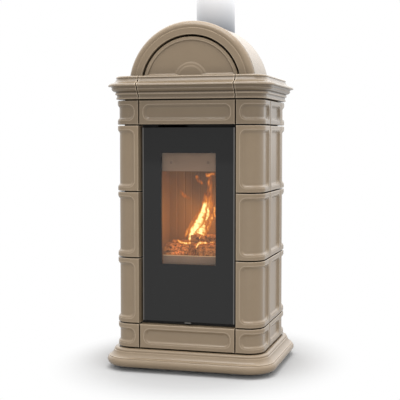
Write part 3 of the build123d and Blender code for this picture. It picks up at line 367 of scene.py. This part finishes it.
grey = blank_material("grey_flue_paint")
tree = grey.node_tree
place = add(tree, "TexCoord").outputs["Object"]
mist = add(tree, "TexNoise", {"Vector": place, "Scale": per_metre(paint_mist), "Detail": 2.0})
tone = add(tree, "Mix", {"Factor": mist.outputs[0], "A": linear("#6A6E75"), "B": linear("#747880")},
           data_type="RGBA")
height = add(tree, "SeparateXYZ", {"Vector": place})
fade = add(tree, "MapRange", {"Value": height.outputs["Z"], "From Min": pale_foot, "From Max": pale_head,
                              "To Max": 0.75})
pale = add(tree, "Mix", {"Factor": fade.outputs[0], "A": tone.outputs["Result"], "B": linear("#FBFBFC")},
           data_type="RGBA")
skin = add(tree, "BsdfPrincipled", {"Base Color": pale.outputs["Result"], "Roughness": 0.4})
add(tree, "OutputMaterial", {"Surface": skin.outputs[0]})
coat(grey, "flue_pipe")

# ---------------------------------------------------------------------------
# Door frame and seal: the cast frame hangs on the hinge pins under the same
# black paint as the body. A braided glass-fibre rope lies in a groove at its
# back and closes on the front plate; its strands show as slanting bands.

rope_strand = 3.93                 # mm
wave_unit = 2 * math.pi / 10       # m along an axis after which a slanting wave of scale 1 repeats

rope = blank_material("glass_fibre_rope")
tree = rope.node_tree
place = add(tree, "TexCoord").outputs["Object"]
braid = add(tree, "TexWave", {"Vector": place, "Scale": wave_unit * per_metre(rope_strand),
                              "Distortion": 2.0}, bands_direction="DIAGONAL")
tone = add(tree, "Mix", {"Factor": braid.outputs[0], "A": linear("#2E2D2B"), "B": linear("#55534F")},
           data_type="RGBA")
bump = add(tree, "Bump", {"Height": braid.outputs[0], "Strength": 0.8, "Distance": 0.001})
skin = add(tree, "BsdfPrincipled", {"Base Color": tone.outputs["Result"], "Roughness": 0.9,
                                    "Normal": bump.outputs[0]})
add(tree, "OutputMaterial", {"Surface": skin.outputs[0]})
coat(rope, "door_seal")
coat(black, "door_frame")

# ---------------------------------------------------------------------------
# Edge strips: two folded strips of dark satin steel, clipped over the upright
# edges of the glass. Fine brush marks vary their shine.

brush_mark = 1.67    # mm; coarser than real, so that it shows

strip = blank_material("dark_satin_strip")
tree = strip.node_tree
place = add(tree, "TexCoord").outputs["Object"]
brush = add(tree, "TexNoise", {"Vector": place, "Scale": per_metre(brush_mark), "Detail": 2.0})
rough = add(tree, "MapRange", {"Value": brush.outputs[0], "To Min": 0.3, "To Max": 0.45})
skin = add(tree, "BsdfPrincipled", {"Base Color": linear("#7C7976"), "Metallic": 1.0,
                                    "Roughness": rough.outputs[0]})
add(tree, "OutputMaterial", {"Surface": skin.outputs[0]})
coat(strip, "door_edge_trims")

# ---------------------------------------------------------------------------
# Door glass: one 5 mm pane of ceramic glass. A black enamel border is printed
# on it, so only the window stays clear. Its polished face mirrors the studio.

window_half = 0.1018                        # m from the middle to each side
window_foot, window_head = 0.3900, 0.7918   # m above the floor
smear_patch = 38.5                          # mm

pane = blank_material("printed_stove_glass")
tree = pane.node_tree
place = add(tree, "TexCoord").outputs["Object"]
at = add(tree, "SeparateXYZ", {"Vector": place})
side = add(tree, "Math", {0: at.outputs["X"]}, operation="ABSOLUTE")
in_x = add(tree, "Math", {0: side.outputs[0], 1: window_half}, operation="LESS_THAN")
over = add(tree, "Math", {0: at.outputs["Z"], 1: window_foot}, operation="GREATER_THAN")
under = add(tree, "Math", {0: at.outputs["Z"], 1: window_head}, operation="LESS_THAN")
in_z = add(tree, "Math", {0: over.outputs[0], 1: under.outputs[0]}, operation="MULTIPLY")
clear = add(tree, "Math", {0: in_x.outputs[0], 1: in_z.outputs[0]}, operation="MULTIPLY")
smear = add(tree, "TexNoise", {"Vector": place, "Scale": per_metre(smear_patch), "Detail": 3.0})
rough = add(tree, "MapRange", {"Value": smear.outputs[0], "To Min": 0.02, "To Max": 0.07})
enamel = add(tree, "BsdfPrincipled", {"Base Color": linear("#101010"), "Roughness": rough.outputs[0],
                                      "IOR": 1.5})
through = add(tree, "BsdfTransparent", {"Color": linear("#F4F2EE")})
shine = add(tree, "BsdfGlossy", {"Color": linear("#FFFFFF"), "Roughness": 0.02})
mirror = add(tree, "Fresnel", {"IOR": 1.45})
window = add(tree, "MixShader", {0: mirror.outputs[0], 1: through.outputs[0], 2: shine.outputs[0]})
whole = add(tree, "MixShader", {0: clear.outputs[0], 1: enamel.outputs[0], 2: window.outputs[0]})
add(tree, "OutputMaterial", {"Surface": whole.outputs[0]})
coat(pane, "door_glass")

# ---------------------------------------------------------------------------
# Logs: split firewood laid over the grate behind the log bar, charred dark with
# paler burnt grain and deep cracks. Embers glow in the front left log.

char_crack = 14.3    # mm
burnt_grain = 11.76  # mm
ember_heart = (-0.052, -0.150, 0.436)   # m
ember_reach, ember_core = 0.046, 0.014  # m from that heart

char = blank_material("charred_wood")
tree = char.node_tree
place = add(tree, "TexCoord").outputs["Object"]
crack = add(tree, "TexVoronoi", {"Vector": place, "Scale": per_metre(char_crack)},
            feature="DISTANCE_TO_EDGE")
ash = add(tree, "TexNoise", {"Vector": place, "Scale": per_metre(burnt_grain), "Detail": 5.0,
                             "Roughness": 0.7})
spread = add(tree, "MapRange", {"Value": ash.outputs[0], "From Min": 0.38, "From Max": 0.64})
tone = add(tree, "Mix", {"Factor": spread.outputs[0], "A": linear("#482C14"), "B": linear("#C28246")},
           data_type="RGBA")
bump = add(tree, "Bump", {"Height": crack.outputs["Distance"], "Strength": 0.8, "Distance": 0.003})
away = add(tree, "VectorMath", {0: place, 1: ember_heart}, operation="DISTANCE")
near = add(tree, "MapRange", {"Value": away.outputs["Value"], "From Min": ember_reach,
                               "From Max": ember_core})
patch = add(tree, "MapRange", {"Value": ash.outputs[0], "From Min": 0.42, "From Max": 0.62})
lit = add(tree, "Math", {0: near.outputs[0], 1: patch.outputs[0]}, operation="MULTIPLY")
warm = add(tree, "Mix", {"Factor": lit.outputs[0], "A": tone.outputs["Result"], "B": linear("#F07E3C")},
           data_type="RGBA")
# Each log glows faintly in its own colour, painted light for the flames' light on it, and the embers glow
# brighter.
glow = add(tree, "MapRange", {"Value": lit.outputs[0], "To Min": 0.48, "To Max": 1.0})
skin = add(tree, "BsdfPrincipled", {"Base Color": tone.outputs["Result"], "Roughness": 0.85,
                                    "Normal": bump.outputs[0], "Emission Color": warm.outputs["Result"],
                                    "Emission Strength": glow.outputs[0]})
add(tree, "OutputMaterial", {"Surface": skin.outputs[0]})
coat(char, "logs")

# ---------------------------------------------------------------------------
# Fire: the flames over the logs. Each tongue is a thin curved sheet of glowing
# gas, pale yellow in its heart, orange at its edge and clear beyond, ragged
# where it breaks up. It hangs in the fire space, over the front logs.

lick_width = 7.7     # mm
lick_stretch = 0.35  # the licks are drawn out upwards

flame = blank_material("flame")
tree = flame.node_tree
heat = add(tree, "Attribute", attribute_name="fire_glow")
drawn = add(tree, "Mapping", {"Vector": add(tree, "TexCoord").outputs["Object"],
                              "Scale": (1.0, 1.0, lick_stretch)})
lick = add(tree, "TexNoise", {"Vector": drawn.outputs[0], "Scale": per_metre(lick_width), "Detail": 3.0})
ragged = add(tree, "MapRange", {"Value": lick.outputs[0], "From Min": 0.3, "From Max": 0.7, "To Min": -0.24,
                                "To Max": 0.16})
hot = add(tree, "Math", {0: heat.outputs["Fac"], 1: ragged.outputs[0]}, operation="ADD")
deep = add(tree, "Mix", {"Factor": hot.outputs[0], "A": linear("#C85A1E"), "B": linear("#FFAC44")},
           data_type="RGBA")
core = add(tree, "MapRange", {"Value": hot.outputs[0], "From Min": 0.56, "From Max": 0.95})
glow = add(tree, "Mix", {"Factor": core.outputs[0], "A": deep.outputs["Result"], "B": linear("#FFF6A8")},
           data_type="RGBA")
power = add(tree, "MapRange", {"Value": hot.outputs[0], "From Min": 0.1, "From Max": 0.9, "To Min": 0.8,
                               "To Max": 1.7})
fire = add(tree, "Emission", {"Color": glow.outputs["Result"], "Strength": power.outputs[0]})
air = add(tree, "BsdfTransparent")
thick = add(tree, "MapRange", {"Value": hot.outputs[0], "From Min": 0.0, "From Max": 0.55})
mixed = add(tree, "MixShader", {0: thick.outputs[0], 1: air.outputs[0], 2: fire.outputs[0]})
add(tree, "OutputMaterial", {"Surface": mixed.outputs[0]})

flame_rows, flame_cols = 48, 14
front_plane = -230.0   # mm: the depth of a tongue is counted back from here
edge_reach = 1.6       # the clear edge reaches this many half widths out
bulge = 0.8            # half widths that the heart stands in front of the edge
sway_reach = 2.5       # mm that a tongue wanders sideways
sway_turn = 0.06       # turns of that wander per mm
sway_depth = 0.1       # turns of it per mm of depth, so that no two tongues match
bend_reach = 3.0       # mm that it leans back and forth on its way up
bend_turn = 5          # radians of that lean from foot to tip
break_depth = 0.35     # share of its heat that comes and goes
break_turn = 0.18      # changes of heat per mm
foot_heat = 0.3        # share of its heat at the very foot
foot_rise = 8          # the heat rises this fast from the foot, and
tip_fall = 6           # falls this fast to the tip, per whole height
aim_step = 0.02        # share of the height over which its direction is taken


def along(points, t):
    """A smooth place on a line of points, t from 0 to 1."""
    count = len(points) - 1
    part = min(int(t * count), count - 1)
    f = t * count - part
    four = [points[max(0, min(count, part + step))] for step in (-1, 0, 1, 2)]
    a, b, c, d = (Vector(p) for p in four)
    square = 2 * a - 5 * b + 4 * c - d
    cube = 3 * b - a - 3 * c + d
    return 0.5 * (2 * b + (c - a) * f + square * f * f + cube * f**3)


def tongue(name, depth, spine, strength):
    """One flame: spine in (x, z, half width) mm at a depth behind the front plane."""
    verts, faces, heats = [], [], []
    for i in range(flame_rows + 1):
        t = i / flame_rows
        x, z, half = along(spine, t)
        ahead = along(spine, min(1.0, t + aim_step)) - along(spine, max(0.0, t - aim_step))
        across = Vector((ahead.y, -ahead.x)).normalized()
        sway = noise.noise(Vector((x * sway_turn, z * sway_turn, depth * sway_depth))) * sway_reach
        bend = math.sin(t * bend_turn + depth) * bend_reach
        ends = min(1.0, foot_rise * t + foot_heat) * min(1.0, tip_fall * (1 - t))
        for j in range(flame_cols + 1):
            s = 2 * j / flame_cols - 1
            px = x + s * half * edge_reach * across.x + sway * t
            pz = z + s * half * edge_reach * across.y
            py = front_plane + depth - (1 - s * s) * half * bulge + bend
            verts.append((px / 1000, py / 1000, pz / 1000))
            broken = 1 + break_depth * noise.noise(Vector((x * break_turn, z * break_turn, s + depth)))
            heats.append(strength * (1 - s * s) * ends * broken)
    for i in range(flame_rows):
        for j in range(flame_cols):
            a = i * (flame_cols + 1) + j
            faces.append((a, a + 1, a + flame_cols + 2, a + flame_cols + 1))
    mesh = bpy.data.meshes.new(name)
    mesh.from_pydata(verts, [], faces)
    mesh.attributes.new("fire_glow", "FLOAT", "POINT").data.foreach_set("value", heats)
    mesh.polygons.foreach_set("use_smooth", [True] * len(faces))
    mesh.materials.append(flame)
    made = bpy.data.objects.new(name, mesh)
    scene.collection.objects.link(made)
    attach(made, "stove")


tongue("flame_main", 140, [(-29, 460, 4), (-27, 475, 5), (-21, 490, 8), (-11, 505, 13), (2, 520, 14),
                           (11, 538, 13), (18, 555, 11), (26, 573, 10), (30, 590, 8), (33, 614, 8),
                           (32, 650, 5)], 1.0)
tongue("flame_base", 136, [(16, 490, 16), (21, 506, 15), (26, 519, 10), (31, 530, 3)], 0.95)
tongue("flame_shoulder", 138, [(34, 541, 2), (39, 553, 5), (42, 568, 7), (43, 583, 5), (43, 595, 2)], 0.9)
tongue("flame_right", 150, [(33, 494, 4), (39, 510, 6), (44, 525, 5), (51, 543, 6), (56, 560, 6),
                            (56, 575, 2)], 0.5)
tongue("flame_high", 148, [(39, 577, 4), (45, 595, 7), (48, 614, 8), (48, 637, 8), (48, 661, 8),
                           (46, 688, 8), (44, 710, 5)], 0.36)
tongue("flame_left", 146, [(-50, 474, 3), (-40, 495, 6), (-29, 515, 5), (-18, 534, 5), (-9, 552, 3),
                           (3, 574, 2)], 0.45)
tongue("flame_wisp_a", 160, [(-9, 707, 3), (-1, 694, 6), (9, 681, 5), (21, 674, 3)], 0.36)
tongue("flame_wisp_b", 160, [(28, 715, 2), (37, 706, 6), (48, 712, 4), (66, 712, 4)], 0.45)
tongue("flame_wisp_c", 160, [(-70, 653, 2), (-59, 638, 6), (-44, 627, 5), (-29, 616, 3)], 0.24)
tongue("flame_edge", 158, [(60, 592, 2), (63, 581, 4), (62, 565, 3), (65, 552, 3)], 0.6)
tongue("flame_split", 128, [(12, 473, 2), (18, 484, 3), (26, 490, 3)], 0.6)
# Bright bands of flame creep along the tops of the front logs.
tongue("flame_band_left", 108, [(-67, 471, 3), (-57, 463, 4), (-38, 460, 4), (-20, 460, 4), (-8, 462, 3)],
       0.75)
tongue("flame_band_right", 108, [(6, 442, 3), (13, 455, 4), (23, 462, 5), (38, 463, 4), (55, 464, 3)],
       0.85)
# A wide orange veil of burning gas stands behind the bright tongues.
tongue("flame_veil", 166, [(-12, 486, 12), (-2, 508, 18), (12, 535, 22), (27, 566, 20), (38, 600, 15),
                           (42, 640, 8)], 0.66)
# The right band runs out in one last short lick.
tongue("flame_band_tail", 108, [(58, 464, 2), (68, 465, 2), (76, 461, 4)], 0.6)

# One soft lamp in the middle of the flames lights the fireclay and the log bar.
fire_light = bpy.data.lights.new("fire_glow", "POINT")
fire_light.energy = 1.6
fire_light.color = linear("#FFB878")[:3]
fire_light.shadow_soft_size = 0.11
fire_holder = bpy.data.objects.new("fire_glow", fire_light)
fire_holder.location = (0.01, -0.07, 0.56)
scene.collection.objects.link(fire_holder)
